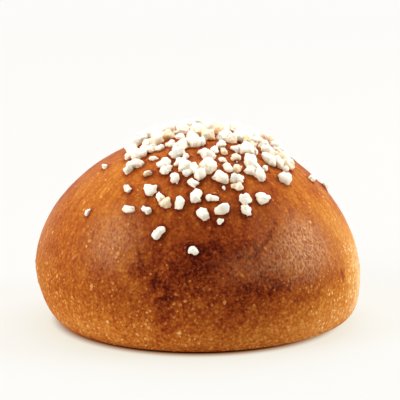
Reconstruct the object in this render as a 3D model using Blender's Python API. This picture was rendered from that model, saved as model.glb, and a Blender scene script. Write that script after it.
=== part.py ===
"""Sugar brioche: a round bun of enriched dough, egg washed, with pearl sugar baked on to its crown.

The bun is one solid. It stands on the flat spot of its base with +Z up, its origin in the middle of
that spot, -Y is its front and +X its right. Its form is a dome on a tighter flank that rolls under to
the base, and both are superellipse arcs whose sizes change slowly round the bun. The sugar nibs are
small irregular lumps set in the crust, and are fused to the bun.
"""

import math
import random

import bmesh
import bpy
from mathutils import Matrix, Vector

# Sizes of the bun. Four values stand for its right, back, left and front sides.
CROWN_HEIGHT = 0.0571
REACH = (0.0492, 0.0461, 0.0488, 0.0468)
WIDEST_HEIGHT = (0.0135, 0.0155, 0.0171, 0.0124)
BASE_REACH = (0.0385, 0.0405, 0.0405, 0.0415)
DOME_SQUARENESS = (1.78, 2.10, 1.87, 2.15)
FLANK_SQUARENESS = (3.30, 2.20, 1.55, 2.20)
CROWN_LEAN = 0.0022

# The rim of the base lies just clear of the tray, and the bun stands on a flat spot within it.
BASE_RISE = 0.0003
SPOT_REACH = 0.0370
SPOT_CORNERS = 8
SPOT_DEPTH = 0.0030

# Shares of the way from the crown to the middle of the base, measured over the surface.
FALL_AT_WIDEST = 0.59
FALL_AT_BASE = 0.72

# Soft vertical hollows where the dough was folded under: bearing and half width in degrees, depth,
# and the lowest and highest point of the hollow.
HOLLOWS = (
    (-106.0, 9.0, 0.0010, 0.004, 0.042),
    (-64.0, 6.0, 0.0006, 0.018, 0.046),
    (-20.0, 11.0, 0.0007, 0.006, 0.036),
    (38.0, 12.0, 0.0006, 0.005, 0.038),
    (104.0, 14.0, 0.0007, 0.006, 0.042),
    (163.0, 12.0, 0.0005, 0.008, 0.036),
)
LOBE_HEIGHT = 0.0005
LOBES_ROUND = 5
LOBE_BEARING = 20.0

# Rows of points along each side of the cube from which the crust is rounded.
CRUST_CUTS = 16
STEP_FOR_NORMAL = 0.002

# Pearl sugar: one patch a little in front of the crown, an ellipse with fuller corners.
SEED = 41
PATCH_CENTRE = (0.0014, -0.0068)
PATCH_REACH = (0.0238, 0.0243)
PATCH_SQUARENESS = 2.6
PATCH_NIBS = 160
PATCH_JITTER = 0.0018
GOLDEN_TURN = math.pi * (3.0 - math.sqrt(5.0))

# The nibs that rolled clear of the patch: how far right and back they lie, and their length.
STRAY_NIBS = (
    (-0.0197, -0.0336, 0.0039),
    (-0.0148, -0.0357, 0.0040),
    (-0.0205, -0.0279, 0.0036),
    (-0.0140, -0.0313, 0.0045),
    (-0.0115, -0.0338, 0.0038),
    (-0.0098, -0.0357, 0.0040),
    (-0.0058, -0.0365, 0.0046),
    (-0.0016, -0.0353, 0.0052),
    (0.0010, -0.0389, 0.0046),
    (0.0031, -0.0357, 0.0037),
    (0.0062, -0.0377, 0.0062),
    (0.0057, -0.0397, 0.0028),
    (0.0123, -0.0341, 0.0042),
    (0.0128, -0.0364, 0.0044),
    (0.0171, -0.0318, 0.0044),
    (0.0098, -0.0317, 0.0040),
    (-0.0115, -0.0404, 0.0044),
    (-0.0018, -0.0438, 0.0035),
    (-0.0319, -0.0256, 0.0030),
    (-0.0283, -0.0106, 0.0032),
    (0.0324, -0.0078, 0.0035),
    (0.0372, 0.0030, 0.0034),
    (-0.0240, 0.0220, 0.0036),
    (0.0120, 0.0300, 0.0040),
    (0.0290, 0.0190, 0.0034),
)

# Nibs run from the short length to the long one, and a power over 1 makes the long ones rarer.
# Width, depth and how far out the corners lie are shares of the length.
NIB_LENGTH = (0.0029, 0.0064)
NIB_RARITY = 1.3
NIB_SHAPES = 9
NIB_CORNERS = 11
NIB_WIDTH = (0.60, 0.95)
NIB_DEPTH = (0.62, 0.86)
NIB_CORNER_OUT = (0.76, 1.12)
NIB_CORNER_TURN = 0.45
NIB_LIFT = 0.13
NIB_TIP = 0.5
LEAST_FALL = 0.01


def round_the_bun(values, bearing):
    """The value at this bearing of a size given for the right, back, left and front."""
    cosine, sine = math.cos(bearing), math.sin(bearing)
    shares = (max(cosine, 0.0), max(sine, 0.0), max(-cosine, 0.0), max(-sine, 0.0))
    return sum(value * share**2 for value, share in zip(values, shares))


def superellipse(angle, squareness):
    """Across and up, each from 0 to 1, on a quarter arc from straight up to level."""
    power = 2.0 / squareness
    return max(math.sin(angle), 0.0) ** power, max(math.cos(angle), 0.0) ** power


def profile(bearing, fall):
    """Distance from the axis and height, before the crown's lean and the hollows."""
    reach = round_the_bun(REACH, bearing)
    widest = round_the_bun(WIDEST_HEIGHT, bearing)
    base = round_the_bun(BASE_REACH, bearing)
    if fall <= FALL_AT_WIDEST:
        angle = fall / FALL_AT_WIDEST * math.pi / 2
        across, up = superellipse(angle, round_the_bun(DOME_SQUARENESS, bearing))
        return reach * across, widest + (CROWN_HEIGHT - widest) * up
    if fall <= FALL_AT_BASE:
        angle = (fall - FALL_AT_WIDEST) / (FALL_AT_BASE - FALL_AT_WIDEST) * math.pi / 2
        down, across = superellipse(angle, round_the_bun(FLANK_SQUARENESS, bearing))
        return base + (reach - base) * across, widest - (widest - BASE_RISE) * down
    return base * (1.0 - fall) / (1.0 - FALL_AT_BASE), BASE_RISE


def hollow_depth(bearing, height):
    """How far the crust sinks or swells here, from the folds and the lobes of the dough."""
    depth = 0.0
    for middle, half_width, deepest, low, high in HOLLOWS:
        turn = math.remainder(bearing - math.radians(middle), 2 * math.pi)
        along = (height - low) / (high - low)
        if 0.0 < along < 1.0:
            across = math.exp(-((turn / math.radians(half_width)) ** 2))
            depth += deepest * across * math.sin(math.pi * along) ** 2
    lobe = math.cos(LOBES_ROUND * (bearing - math.radians(LOBE_BEARING)))
    share = min(height / CROWN_HEIGHT, 1.0)
    return depth - LOBE_HEIGHT * lobe * math.sin(math.pi * share) ** 2


def crust_point(bearing, fall):
    """The point of the bare crust at this bearing and this share of the way down."""
    across, height = profile(bearing, fall)
    across -= hollow_depth(bearing, height) * min(across / REACH[0], 1.0)
    lean = CROWN_LEAN * (height / CROWN_HEIGHT) ** 2
    return Vector((across * math.cos(bearing) + lean, across * math.sin(bearing), height))


def crust_normal(bearing, fall):
    """The outward direction of the crust, from two short steps over it."""
    step = STEP_FOR_NORMAL
    down = crust_point(bearing, fall + step) - crust_point(bearing, fall - step)
    along = crust_point(bearing + step, fall) - crust_point(bearing - step, fall)
    return down.cross(along).normalized()


def fall_at(bearing, distance):
    """The share of the way down at which the dome is this far from the axis."""
    share = min(distance / round_the_bun(REACH, bearing), 1.0)
    angle = math.asin(share ** (round_the_bun(DOME_SQUARENESS, bearing) / 2.0))
    return angle / (math.pi / 2) * FALL_AT_WIDEST


def material(name, colour, roughness):
    """A Principled BSDF of one colour."""
    made = bpy.data.materials.new(name)
    made.use_nodes = True
    shader = made.node_tree.nodes["Principled BSDF"]
    shader.inputs["Base Color"].default_value = (*colour, 1.0)
    shader.inputs["Roughness"].default_value = roughness
    shader.inputs["Metallic"].default_value = 0.0
    return made


def add_object(name, mesh, finish, collection):
    """A mesh object with its material, in a collection."""
    mesh.materials.append(finish)
    obj = bpy.data.objects.new(name, mesh)
    collection.objects.link(obj)
    return obj


def build_bun(finish, collection):
    """A finely cut cube, rounded to a ball, whose points then move on to the bun's form."""
    shape = bmesh.new()
    bmesh.ops.create_cube(shape, size=2.0)
    bmesh.ops.subdivide_edges(shape, edges=shape.edges, cuts=CRUST_CUTS, use_grid_fill=True)
    for vertex in shape.verts:
        # The tangent spaces the rows of points evenly over the ball.
        ball = Vector(math.tan(share * math.pi / 4) for share in vertex.co).normalized()
        bearing = math.atan2(ball.y, ball.x)
        vertex.co = crust_point(bearing, math.acos(ball.z) / math.pi)
    bmesh.ops.recalc_face_normals(shape, faces=shape.faces)
    mesh = bpy.data.meshes.new("sugar_brioche")
    shape.to_mesh(mesh)
    shape.free()
    return add_object("sugar_brioche", mesh, finish, collection)


def build_flat_spot(finish, collection):
    """The spot of the base that rests on the tray: a low block that reaches up into the bun."""
    shape = bmesh.new()
    middle = Matrix.Translation((0.0, 0.0, SPOT_DEPTH / 2))
    bmesh.ops.create_cone(
        shape,
        cap_ends=True,
        segments=SPOT_CORNERS,
        radius1=SPOT_REACH,
        radius2=SPOT_REACH,
        depth=SPOT_DEPTH,
        matrix=middle,
    )
    mesh = bpy.data.meshes.new("flat_spot")
    shape.to_mesh(mesh)
    shape.free()
    return add_object("flat_spot", mesh, finish, collection)


def nib_mesh(number, draw):
    """One lump of pearl sugar, 1 long: the hull of unevenly spread corners."""
    width, depth = draw.uniform(*NIB_WIDTH), draw.uniform(*NIB_DEPTH)
    shape = bmesh.new()
    for corner in range(NIB_CORNERS):
        height = 1.0 - 2.0 * (corner + 0.5) / NIB_CORNERS
        turn = corner * GOLDEN_TURN + draw.uniform(-NIB_CORNER_TURN, NIB_CORNER_TURN)
        ring = math.sqrt(1.0 - height**2)
        radius = draw.uniform(*NIB_CORNER_OUT) / 2
        point = Vector((ring * math.cos(turn), ring * math.sin(turn) * width, height * depth))
        shape.verts.new(point * radius)
    bmesh.ops.convex_hull(shape, input=shape.verts)
    bmesh.ops.recalc_face_normals(shape, faces=shape.faces)
    mesh = bpy.data.meshes.new(f"nib_shape_{number}")
    shape.to_mesh(mesh)
    shape.free()
    return mesh


def nib_places(draw):
    """Each nib's place from above, from the axis, and its length: a jittered spiral, then the strays."""
    places = []
    for number in range(PATCH_NIBS):
        cosine, sine = math.cos(number * GOLDEN_TURN), math.sin(number * GOLDEN_TURN)
        corner = abs(cosine) ** PATCH_SQUARENESS + abs(sine) ** PATCH_SQUARENESS
        out = math.sqrt((number + 0.5) / PATCH_NIBS) / corner ** (1.0 / PATCH_SQUARENESS)
        east = PATCH_CENTRE[0] + PATCH_REACH[0] * out * cosine + draw.uniform(-PATCH_JITTER, PATCH_JITTER)
        north = PATCH_CENTRE[1] + PATCH_REACH[1] * out * sine + draw.uniform(-PATCH_JITTER, PATCH_JITTER)
        length = NIB_LENGTH[0] + (NIB_LENGTH[1] - NIB_LENGTH[0]) * draw.random() ** NIB_RARITY
        places.append((east, north, length))
    return places + list(STRAY_NIBS)


def nib_matrix(east, north, length, spin, tip):
    """Seats a nib on the crust, its flat way down, turned and a little tipped."""
    bearing = math.atan2(north, east)
    fall = max(fall_at(bearing, math.hypot(east, north)), LEAST_FALL)
    normal = crust_normal(bearing, fall)
    seat = crust_point(bearing, fall) + normal * length * NIB_LIFT
    turned = normal.to_track_quat("Z", "Y").to_matrix().to_4x4()
    spun = Matrix.Rotation(spin, 4, "Z") @ Matrix.Rotation(tip, 4, "X")
    return Matrix.Translation(seat) @ turned @ spun @ Matrix.Scale(length, 4)


def build_nibs(finish, collection):
    """Every nib as an object of its own."""
    draw = random.Random(SEED)
    shapes = [nib_mesh(number, draw) for number in range(NIB_SHAPES)]
    for shape in shapes:
        shape.materials.append(finish)
    for number, (east, north, length) in enumerate(nib_places(draw)):
        spin, tip = draw.uniform(0.0, 2 * math.pi), draw.uniform(-NIB_TIP, NIB_TIP)
        nib = bpy.data.objects.new(f"nib_{number}", shapes[number % NIB_SHAPES])
        nib.matrix_world = nib_matrix(east, north, length, spin, tip)
        collection.objects.link(nib)


def keep_largest_shell(mesh):
    """Drops every closed shell but the largest: hollows sealed between nibs, and nibs that lie free."""
    shape = bmesh.new()
    shape.from_mesh(mesh)
    left = set(shape.verts)
    shells = []
    while left:
        shell, edge_of_shell = set(), {left.pop()}
        while edge_of_shell:
            shell |= edge_of_shell
            near = {edge.other_vert(vertex) for vertex in edge_of_shell for edge in vertex.link_edges}
            edge_of_shell = near - shell
        left -= shell
        shells.append(shell)
    shells.sort(key=len)
    for shell in shells[:-1]:
        bmesh.ops.delete(shape, geom=list(shell), context="VERTS")
    shape.to_mesh(mesh)
    shape.free()


def fuse(bun, pieces):
    """Joins the nibs and the flat spot to the bun with one union, and removes them."""
    union = bun.modifiers.new("fused_pieces", "BOOLEAN")
    union.operation = "UNION"
    union.solver = "MANIFOLD"
    union.operand_type = "COLLECTION"
    union.collection = pieces
    bpy.context.view_layer.update()
    graph = bpy.context.evaluated_depsgraph_get()
    fused = bpy.data.meshes.new_from_object(bun.evaluated_get(graph))
    keep_largest_shell(fused)
    bun.modifiers.clear()
    bun.data = fused
    for piece in list(pieces.objects):
        bpy.data.objects.remove(piece)
    bpy.data.collections.remove(pieces)


def main():
    for obj in list(bpy.data.objects):
        bpy.data.objects.remove(obj)
    brioche = bpy.data.collections.new("sugar_brioche")
    fused = bpy.data.collections.new("fused_pieces")
    for collection in (brioche, fused):
        bpy.context.scene.collection.children.link(collection)
    crust_finish = material("baked_crust", (0.36, 0.12, 0.03), 0.42)
    sugar_finish = material("pearl_sugar", (0.88, 0.84, 0.76), 0.65)
    bun = build_bun(crust_finish, brioche)
    build_flat_spot(crust_finish, fused)
    build_nibs(sugar_finish, fused)
    fuse(bun, fused)
    bun.data.shade_smooth()
    bun.data.set_sharp_from_angle(angle=math.radians(35))


main()
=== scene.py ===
import math
import random

import bmesh
import bpy
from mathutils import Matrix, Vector


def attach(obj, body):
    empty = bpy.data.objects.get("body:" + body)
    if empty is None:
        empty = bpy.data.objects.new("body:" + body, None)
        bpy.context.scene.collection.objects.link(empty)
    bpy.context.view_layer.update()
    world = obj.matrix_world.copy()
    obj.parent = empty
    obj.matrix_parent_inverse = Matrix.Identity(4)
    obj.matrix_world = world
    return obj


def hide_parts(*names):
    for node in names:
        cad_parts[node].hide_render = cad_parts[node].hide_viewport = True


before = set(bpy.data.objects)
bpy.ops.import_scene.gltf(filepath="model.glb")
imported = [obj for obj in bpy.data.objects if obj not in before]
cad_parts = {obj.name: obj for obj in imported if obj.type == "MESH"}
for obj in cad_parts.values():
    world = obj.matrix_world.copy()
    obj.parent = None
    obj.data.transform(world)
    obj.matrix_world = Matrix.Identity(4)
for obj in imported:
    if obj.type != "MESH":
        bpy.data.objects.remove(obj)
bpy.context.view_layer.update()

# The form of the bun: one round of enriched dough, proved and baked free on a tray, so that a domed
# crown stands on a tighter flank that rolls under to the base. Both are superellipse arcs, and each
# size of theirs is given for the right, back, left and front and changes slowly between them.
SIDES = ("Right", "Back", "Left", "Front")
BUN_SIZES = {
    "Reach": (0.0492, 0.0461, 0.0488, 0.0468),
    "Widest Height": (0.0135, 0.0155, 0.0171, 0.0124),
    "Base Reach": (0.0385, 0.0405, 0.0405, 0.0415),
    "Dome Squareness": (1.78, 2.10, 1.87, 2.15),
    "Flank Squareness": (3.30, 2.20, 1.55, 2.20),
}
CROWN_HEIGHT = 0.0571
CROWN_LEAN = 0.0022
BASE_RISE = 0.0003
# How far down from the crown, as a share of the way to the middle of the base.
FALL_AT_WIDEST = 0.59
FALL_AT_BASE = 0.72
FOOT_RUN = 0.025
LOBE_HEIGHT = 0.0005
LOBES_ROUND = 5
LOBE_BEARING = math.radians(20.0)
# Soft vertical hollows where the dough was folded under: the bearing and half width in degrees, and
# the depth, lowest and highest place.
HOLLOWS = (
    (-106.0, 9.0, 0.0010, 0.004, 0.042),
    (-64.0, 6.0, 0.0006, 0.018, 0.046),
    (-20.0, 11.0, 0.0007, 0.006, 0.036),
    (38.0, 12.0, 0.0006, 0.005, 0.038),
    (104.0, 14.0, 0.0007, 0.006, 0.042),
    (163.0, 12.0, 0.0005, 0.008, 0.036),
)


def fill(tree, node, inputs):
    """Gives each of the named inputs a link from a socket, or a plain value."""
    for name, value in dict(inputs).items():
        if isinstance(value, bpy.types.NodeSocket):
            tree.links.new(value, node.inputs[name])
        else:
            node.inputs[name].default_value = value


def put(tree, kind, inputs=(), **settings):
    """A node with its settings and inputs."""
    node = tree.nodes.new(kind)
    for name, value in settings.items():
        setattr(node, name, value)
    fill(tree, node, inputs)
    return node


def calc(tree, operation, *values, clamp=False):
    """The result of a Math node."""
    node = put(tree, "ShaderNodeMath", enumerate(values), operation=operation, use_clamp=clamp)
    return node.outputs[0]


def times(tree, first, *others):
    """The product of all the values."""
    for value in others:
        first = calc(tree, "MULTIPLY", first, value)
    return first


def added(tree, first, *others):
    """The sum of all the values."""
    for value in others:
        first = calc(tree, "ADD", first, value)
    return first


def minus(tree, value, less):
    """What is left of a value."""
    return calc(tree, "SUBTRACT", value, less)


def over(tree, value, whole, clamp=False):
    """A value as a share of another."""
    return calc(tree, "DIVIDE", value, whole, clamp=clamp)


def squared(tree, value):
    """A value times itself."""
    return calc(tree, "POWER", value, 2.0)


def bell(tree, value):
    """1 where the value is 0, fading to 0 on both sides."""
    return calc(tree, "EXPONENT", times(tree, squared(tree, value), -1.0))


def arch(tree, share):
    """0 at both ends of a span, and 1 in its middle."""
    return squared(tree, calc(tree, "SINE", times(tree, share, math.pi)))


SOCKETS = {
    float: "NodeSocketFloat",
    int: "NodeSocketInt",
    tuple: "NodeSocketVector",
    "Geometry": "NodeSocketGeometry",
    "Collection": "NodeSocketCollection",
    "Material": "NodeSocketMaterial",
    "Object": "NodeSocketObject",
}


def new_group(name, kind, inputs, outputs):
    """A node group with named sockets, and its input and output nodes."""
    tree = bpy.data.node_groups.new(name, kind)
    for direction, sockets in (("INPUT", inputs), ("OUTPUT", outputs)):
        for socket, value in sockets.items():
            kind_of_socket = SOCKETS[value if isinstance(value, str) else type(value)]
            made = tree.interface.new_socket(socket, in_out=direction, socket_type=kind_of_socket)
            if not isinstance(value, str):
                made.default_value = value
    return tree, put(tree, "NodeGroupInput").outputs, put(tree, "NodeGroupOutput")


def use(tree, group, inputs=()):
    """A group placed in a tree; what isn't given keeps the group's own value."""
    kind = "GeometryNodeGroup" if tree.bl_idname == "GeometryNodeTree" else "ShaderNodeGroup"
    return put(tree, kind, inputs, node_tree=group).outputs


def round_the_bun_group():
    """The value at a bearing of a size given for the four sides."""
    inputs = {side: 0.0 for side in SIDES} | {"Bearing": 0.0}
    tree, given, result = new_group("Round the bun", "GeometryNodeTree", inputs, {"Value": 0.0})
    cosine = calc(tree, "COSINE", given["Bearing"])
    sine = calc(tree, "SINE", given["Bearing"])
    towards = (cosine, sine, times(tree, cosine, -1.0), times(tree, sine, -1.0))
    parts = []
    for side, share in zip(SIDES, towards):
        facing = squared(tree, calc(tree, "MAXIMUM", share, 0.0))
        parts.append(times(tree, given[side], facing))
    tree.links.new(added(tree, *parts), result.inputs[0])
    return tree


HOLLOW_INPUTS = {
    "Bearing": 0.0,
    "Height": 0.0,
    "Middle": 0.0,
    "Half Width": 0.1,
    "Depth": 0.0,
    "Low": 0.0,
    "High": 0.05,
}


def hollow_group():
    """How deep one soft vertical hollow is at a bearing and height."""
    tree, given, result = new_group("Hollow", "GeometryNodeTree", HOLLOW_INPUTS, {"Depth": 0.0})
    away = minus(tree, given["Bearing"], given["Middle"])
    turn = over(tree, calc(tree, "WRAP", away, math.pi, -math.pi), given["Half Width"])
    above = minus(tree, given["Height"], given["Low"])
    along = over(tree, above, minus(tree, given["High"], given["Low"]), clamp=True)
    depth = times(tree, given["Depth"], bell(tree, turn), arch(tree, along))
    tree.links.new(depth, result.inputs[0])
    return tree


def bun_form_group(round_the_bun, hollow):
    """The point of the bare crust at a bearing and a share of the way down."""
    sizes = {
        f"{size} {side}": value
        for size, values in BUN_SIZES.items()
        for side, value in zip(SIDES, values)
    }
    inputs = {
        "Bearing": 0.0,
        "Fall": 0.0,
        "Crown Height": CROWN_HEIGHT,
        "Crown Lean": CROWN_LEAN,
        "Base Rise": BASE_RISE,
        "Fall At Widest": FALL_AT_WIDEST,
        "Fall At Base": FALL_AT_BASE,
        "Foot Run": FOOT_RUN,
        "Lobe Height": LOBE_HEIGHT,
    }
    outputs = {"Position": (0.0, 0.0, 0.0)}
    tree, given, result = new_group("Bun form", "GeometryNodeTree", inputs | sizes, outputs)
    bearing, fall, crown = given["Bearing"], given["Fall"], given["Crown Height"]

    def here(size):
        sides = {side: given[f"{size} {side}"] for side in SIDES}
        return use(tree, round_the_bun, sides | {"Bearing": bearing})[0]

    def arc(share, squareness):
        angle = times(tree, share, math.pi / 2)
        power = over(tree, 2.0, squareness)
        sine = calc(tree, "MAXIMUM", calc(tree, "SINE", angle), 0.0)
        cosine = calc(tree, "MAXIMUM", calc(tree, "COSINE", angle), 0.0)
        return calc(tree, "POWER", sine, power), calc(tree, "POWER", cosine, power)

    reach, widest, base = here("Reach"), here("Widest Height"), here("Base Reach")
    # Dome, flank and base each stop changing where the next begins, so their changes simply add up.
    share = over(tree, fall, given["Fall At Widest"], clamp=True)
    dome_across, dome_up = arc(share, here("Dome Squareness"))
    across = times(tree, reach, dome_across)
    height = calc(tree, "MULTIPLY_ADD", minus(tree, crown, widest), dome_up, widest)

    past = minus(tree, fall, given["Fall At Widest"])
    span = minus(tree, given["Fall At Base"], given["Fall At Widest"])
    share = over(tree, past, span, clamp=True)
    flank_down, flank_across = arc(share, here("Flank Squareness"))
    drawn_in = times(tree, minus(tree, reach, base), minus(tree, 1.0, flank_across))
    across = minus(tree, across, drawn_in)
    down = times(tree, minus(tree, widest, given["Base Rise"]), flank_down)
    height = minus(tree, height, down)

    under = calc(tree, "MAXIMUM", minus(tree, fall, given["Fall At Base"]), 0.0)
    inward = over(tree, under, minus(tree, 1.0, given["Fall At Base"]))
    across = minus(tree, across, times(tree, base, inward))
    settled = over(tree, under, given["Foot Run"], clamp=True)
    height = minus(tree, height, times(tree, given["Base Rise"], settled))

    depths = []
    for middle, half_width, depth, low, high in HOLLOWS:
        values = (bearing, height, math.radians(middle), math.radians(half_width), depth, low, high)
        depths.append(use(tree, hollow, dict(zip(HOLLOW_INPUTS, values)))[0])
    up = over(tree, height, crown, clamp=True)
    round_turn = times(tree, minus(tree, bearing, LOBE_BEARING), float(LOBES_ROUND))
    lobe = times(tree, calc(tree, "COSINE", round_turn), arch(tree, up), given["Lobe Height"])
    sunk = minus(tree, added(tree, *depths), lobe)
    share = over(tree, across, given["Reach Right"], clamp=True)
    across = minus(tree, across, times(tree, sunk, share))

    lean = times(tree, given["Crown Lean"], squared(tree, up))
    east = calc(tree, "MULTIPLY_ADD", across, calc(tree, "COSINE", bearing), lean)
    north = times(tree, across, calc(tree, "SINE", bearing))
    place = put(tree, "ShaderNodeCombineXYZ", {0: east, 1: north, 2: height}).outputs[0]
    tree.links.new(place, result.inputs[0])
    return tree


round_the_bun = round_the_bun_group()
bun_form = bun_form_group(round_the_bun, hollow_group())

# Pearl sugar: lumps of pressed white sugar, pushed into the egg wash on the crown before baking. They
# lie thickest in one patch a little in front of the crown, and a few have rolled further. Each is a
# hull of unevenly spread corners, seated on the crust, turned and tipped, and then worn and pitted.
SEED = 41
PATCH_CENTRE = (0.0014, -0.0068)
PATCH_REACH = (0.0238, 0.0243)
PATCH_SQUARENESS = 2.6
PATCH_NIBS = 160
PATCH_JITTER = 0.0018
GOLDEN_TURN = math.pi * (3.0 - math.sqrt(5.0))
# The nibs that rolled clear of the patch: how far right and back they lie, and their length.
STRAY_NIBS = (
    (-0.0197, -0.0336, 0.0039),
    (-0.0148, -0.0357, 0.0040),
    (-0.0205, -0.0279, 0.0036),
    (-0.0140, -0.0313, 0.0045),
    (-0.0115, -0.0338, 0.0038),
    (-0.0098, -0.0357, 0.0040),
    (-0.0058, -0.0365, 0.0046),
    (-0.0016, -0.0353, 0.0052),
    (0.0010, -0.0389, 0.0046),
    (0.0031, -0.0357, 0.0037),
    (0.0062, -0.0377, 0.0062),
    (0.0057, -0.0397, 0.0028),
    (0.0123, -0.0341, 0.0042),
    (0.0128, -0.0364, 0.0044),
    (0.0171, -0.0318, 0.0044),
    (0.0098, -0.0317, 0.0040),
    (-0.0115, -0.0404, 0.0044),
    (-0.0018, -0.0438, 0.0035),
    (-0.0319, -0.0256, 0.0030),
    (-0.0283, -0.0106, 0.0032),
    (0.0324, -0.0078, 0.0035),
    (0.0372, 0.0030, 0.0034),
    (-0.0240, 0.0220, 0.0036),
    (0.0120, 0.0300, 0.0040),
    (0.0290, 0.0190, 0.0034),
)
# A nib's other sizes are shares of its length, and its turns are in radians.
NIB_LENGTH = (0.0029, 0.0064)
NIB_RARITY = 1.3
NIB_SHAPES = 9
NIB_CORNERS = 11
NIB_WIDTH = (0.60, 0.95)
NIB_DEPTH = (0.62, 0.86)
NIB_CORNER_OUT = (0.76, 1.12)
NIB_CORNER_TURN = 0.45
NIB_LIFT = 0.13
NIB_TIP = 0.5
LEAST_FALL = 0.01
CRUMBS = 46
CRUMB_SEED = 7
CRUMB_LENGTH = (0.0008, 0.0018)
CRUMB_SPREAD = 1.15
# Sugar is off white in clouds, toasted on the few nibs that turned yellow, and warmer low down, which is
# partly toasting and partly painted warm shade.
SUGAR_CLOUD_SIZE = 0.0016
SUGAR_SPECK_SIZE = 0.0006
SUGAR_WHITES = ((0.96, 0.90, 0.75), (0.99, 0.965, 0.88))
SUGAR_TOASTED_AND_WARM_SHADE = (0.80, 0.52, 0.24)
YELLOW_TONES = (0.87, 0.96)
TOASTED_AND_WARM_SHADE_RISE = (0.46, -0.02)
TOASTING_AND_WARM_SHADE = 0.72
CRYSTAL_SIZE = 0.00034
CRYSTAL_SIZE_FINE = 0.00022
CRYSTAL_DEPTH = 0.00018
GLOW_DEPTH = 0.0010


def vector(tree, operation, *values):
    """The result of a Vector Math node: a number for lengths and products, or else a vector."""
    node = put(tree, "ShaderNodeVectorMath", enumerate(values), operation=operation)
    return node.outputs["Value" if operation in ("LENGTH", "DOT_PRODUCT") else "Vector"]


def scaled(tree, arrow, factor):
    """A vector made longer or shorter."""
    node = put(tree, "ShaderNodeVectorMath", {0: arrow, "Scale": factor}, operation="SCALE")
    return node.outputs[0]


def between(tree, value, low, high, low_result=0.0, high_result=1.0):
    """A smooth change from one result to another while the value goes from low to high."""
    names = ("Value", "From Min", "From Max", "To Min", "To Max")
    ends = dict(zip(names, (value, low, high, low_result, high_result)))
    return put(tree, "ShaderNodeMapRange", ends, interpolation_type="SMOOTHSTEP").outputs[0]


def scale_for(tree, size):
    """The scale of a texture whose features have this size, given as a number or a socket."""
    return 1.0 / size if isinstance(size, float) else over(tree, 1.0, size)


def noise(tree, place, size, detail=2.0, roughness=0.5, output=0):
    """Soft noise from 0 to 1 with features of about this size."""
    inputs = {"Vector": place, "Scale": scale_for(tree, size), "Detail": detail, "Roughness": roughness}
    return put(tree, "ShaderNodeTexNoise", inputs).outputs[output]


def cells(tree, place, size):
    """A pattern of uneven cells: the distance from each one's middle, and its random colour."""
    inputs = {"Vector": place, "Scale": scale_for(tree, size)}
    return put(tree, "ShaderNodeTexVoronoi", inputs).outputs


def nib_shape(number, draw, collection):
    """One lump of pearl sugar, 1 long."""
    width, depth = draw.uniform(*NIB_WIDTH), draw.uniform(*NIB_DEPTH)
    shape = bmesh.new()
    for corner in range(NIB_CORNERS):
        height = 1.0 - 2.0 * (corner + 0.5) / NIB_CORNERS
        turn = corner * GOLDEN_TURN + draw.uniform(-NIB_CORNER_TURN, NIB_CORNER_TURN)
        ring = math.sqrt(1.0 - height**2)
        radius = draw.uniform(*NIB_CORNER_OUT) / 2
        point = Vector((ring * math.cos(turn), ring * math.sin(turn) * width, height * depth))
        shape.verts.new(point * radius)
    bmesh.ops.convex_hull(shape, input=shape.verts)
    bmesh.ops.recalc_face_normals(shape, faces=shape.faces)
    mesh = bpy.data.meshes.new(f"nib_shape_{number}")
    shape.to_mesh(mesh)
    shape.free()
    collection.objects.link(bpy.data.objects.new(mesh.name, mesh))


def in_patch(out, cosine, sine, jitter=(0.0, 0.0)):
    """How far right and back a place in the patch lies."""
    directions = zip(PATCH_CENTRE, PATCH_REACH, (cosine, sine), jitter)
    return tuple(centre + reach * out * share + shift for centre, reach, share, shift in directions)


def nib_rows(draw):
    """Each nib's place from above, length, spin, tip and tone."""
    places = []
    for number in range(PATCH_NIBS):
        cosine, sine = math.cos(number * GOLDEN_TURN), math.sin(number * GOLDEN_TURN)
        corner = abs(cosine) ** PATCH_SQUARENESS + abs(sine) ** PATCH_SQUARENESS
        out = math.sqrt((number + 0.5) / PATCH_NIBS) / corner ** (1.0 / PATCH_SQUARENESS)
        jitter = [draw.uniform(-PATCH_JITTER, PATCH_JITTER) for _ in PATCH_CENTRE]
        length = NIB_LENGTH[0] + (NIB_LENGTH[1] - NIB_LENGTH[0]) * draw.random() ** NIB_RARITY
        places.append(in_patch(out, cosine, sine, jitter) + (length,))
    places += STRAY_NIBS
    rows = [
        place + (draw.uniform(0.0, 2 * math.pi), draw.uniform(-NIB_TIP, NIB_TIP)) for place in places
    ]
    # Crumbs of broken sugar lie between the nibs.
    draw = random.Random(CRUMB_SEED)
    for _ in range(CRUMBS):
        out, turn = math.sqrt(draw.random()) * CRUMB_SPREAD, draw.uniform(0.0, 2 * math.pi)
        length, spin = draw.uniform(*CRUMB_LENGTH), draw.uniform(0.0, 2 * math.pi)
        rows.append(in_patch(out, math.cos(turn), math.sin(turn)) + (length, spin, 0.0))
    return [row + (draw.random(),) for row in rows]


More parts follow.
